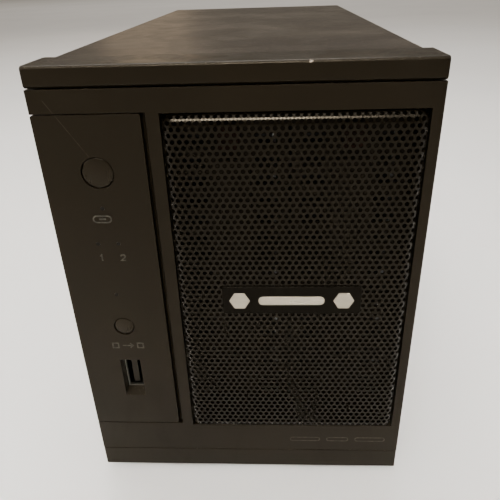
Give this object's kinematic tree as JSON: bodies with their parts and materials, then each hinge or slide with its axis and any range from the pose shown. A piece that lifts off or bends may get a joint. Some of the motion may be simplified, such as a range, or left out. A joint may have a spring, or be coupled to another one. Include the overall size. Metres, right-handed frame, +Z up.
{
  "type": "network attached storage",
  "caption": "Desktop network storage box with a hinged perforated door, fixed control strip, drive trays, fan, boards and mains inlet.",
  "frame": {"origin": "centre of the case's outline on the table, midway between badge and mains inlet flange", "axes": "+X to the right seen from the front, +Y from the front to the back, +Z up"},
  "size_m": [0.1024, 0.222, 0.142],
  "materials": {
    "case_paint": "satin",
    "bezel_plastic": "satin",
    "galvanised_steel": "satin",
    "panel_paint": "matte",
    "mesh_steel": "gloss",
    "badge_black": "gloss",
    "badge_silver": "satin",
    "button_plastic": "satin",
    "light_pipe": "gloss",
    "socket_steel": "satin",
    "socket_plastic": "matte",
    "circuit_board": "satin",
    "black_plastic": "satin",
    "switch_plastic": "matte",
    "flat_cable": "matte",
    "tray_plastic": "satin",
    "release_plastic": "satin",
    "drive_casting": "satin",
    "drive_lid": "satin",
    "platter": "polished",
    "screw_steel": "satin",
    "black_screw": "satin",
    "chip_epoxy": "matte",
    "heatsink_metal": "satin",
    "capacitor_sleeve": "satin",
    "cell_steel": "satin",
    "supply_laminate": "matte",
    "transformer_tape": "satin",
    "guard_wire": "polished",
    "cable_sleeve": "satin",
    "foot_rubber": "matte"
  },
  "bodies": {
    "chassis": {"chassis_base": "galvanised_steel", "rear_panel": "panel_paint", "outer_cover": "case_paint", "cover_screws": "black_screw", "rubber_feet": "foot_rubber", "front_bezel": "bezel_plastic", "control_panel": "bezel_plastic", "light_pipes": "light_pipe", "front_usb_shell": "socket_steel", "front_usb_tongue": "black_plastic", "front_board": "circuit_board", "tact_switches": "switch_plastic", "front_cable": "flat_cable", "drive_cage": "galvanised_steel", "tray_left_frame": "tray_plastic", "tray_right_frame": "tray_plastic", "tray_left_handle": "tray_plastic", "tray_right_handle": "tray_plastic", "drive_left_base": "drive_casting", "drive_right_base": "drive_casting", "drive_left_cover": "drive_lid", "drive_right_cover": "drive_lid", "drive_left_board": "circuit_board", "drive_right_board": "circuit_board", "drive_screws": "screw_steel", "backplane_board": "circuit_board", "sata_sockets": "black_plastic", "mainboard": "circuit_board", "system_chip": "chip_epoxy", "chip_heatsink": "heatsink_metal", "memory_socket": "socket_plastic", "memory_module": "circuit_board", "board_capacitors": "capacitor_sleeve", "clock_battery": "cell_steel", "board_screws": "screw_steel", "ethernet_jack": "socket_steel", "rear_usb_ports": "socket_steel", "fan_frame": "black_plastic", "fan_guard": "guard_wire", "fan_screws": "black_screw", "fan_cable": "cable_sleeve", "supply_board": "supply_laminate", "supply_transformer": "transformer_tape", "supply_capacitors": "capacitor_sleeve", "supply_heatsinks": "heatsink_metal", "ac_inlet": "black_plastic", "supply_cable": "cable_sleeve"},
    "power_button": {"power_button": "button_plastic"},
    "backup_button": {"backup_button": "button_plastic"},
    "reset_button": {"reset_button": "button_plastic"},
    "fan_rotor": {"fan_rotor": "black_plastic"},
    "drive_left_spindle": {"drive_left_platters": "platter"},
    "drive_right_spindle": {"drive_right_platters": "platter"},
    "tray_left_release": {"tray_left_button": "release_plastic"},
    "tray_right_release": {"tray_right_button": "release_plastic"},
    "door": {"door_frame": "bezel_plastic", "door_mesh": "mesh_steel", "badge_plate": "badge_black", "badge_emblem": "badge_silver", "door_hinge_pins": "screw_steel"}
  },
  "joints": [
    {"name": "door_hinge", "type": "hinge", "parent": "chassis", "child": "door", "pos_m": [0.04725, -0.1046, 0.0739], "axis": [0, 0, 1], "range_deg": [0, 110]},
    {"name": "power_button_press", "type": "slide", "parent": "chassis", "child": "power_button", "axis": [0, 1, 0], "range_m": [0, 0.0012], "stiffness_N_per_m": 700, "springref_m": -0.0004},
    {"name": "backup_button_press", "type": "slide", "parent": "chassis", "child": "backup_button", "axis": [0, 1, 0], "range_m": [0, 0.0012], "stiffness_N_per_m": 700, "springref_m": -0.0004},
    {"name": "reset_button_press", "type": "slide", "parent": "chassis", "child": "reset_button", "axis": [0, -1, 0], "range_m": [0, 0.0006], "stiffness_N_per_m": 500, "springref_m": -0.0003},
    {"name": "tray_left_release_press", "type": "slide", "parent": "chassis", "child": "tray_left_release", "axis": [0, 1, 0], "range_m": [0, 0.001], "stiffness_N_per_m": 600, "springref_m": -0.0004},
    {"name": "tray_right_release_press", "type": "slide", "parent": "chassis", "child": "tray_right_release", "axis": [0, 1, 0], "range_m": [0, 0.001], "stiffness_N_per_m": 600, "springref_m": -0.0004},
    {"name": "fan_spin", "type": "hinge", "parent": "chassis", "child": "fan_rotor", "pos_m": [0.01455, 0.0957, 0.101], "axis": [0, 1, 0], "continuous": true},
    {"name": "drive_left_spin", "type": "hinge", "parent": "chassis", "child": "drive_left_spindle", "pos_m": [-0.00245, -0.0385, 0.0765], "axis": [1, 0, 0], "continuous": true},
    {"name": "drive_right_spin", "type": "hinge", "parent": "chassis", "child": "drive_right_spindle", "pos_m": [0.03155, -0.0385, 0.0765], "axis": [1, 0, 0], "continuous": true}
  ]
}
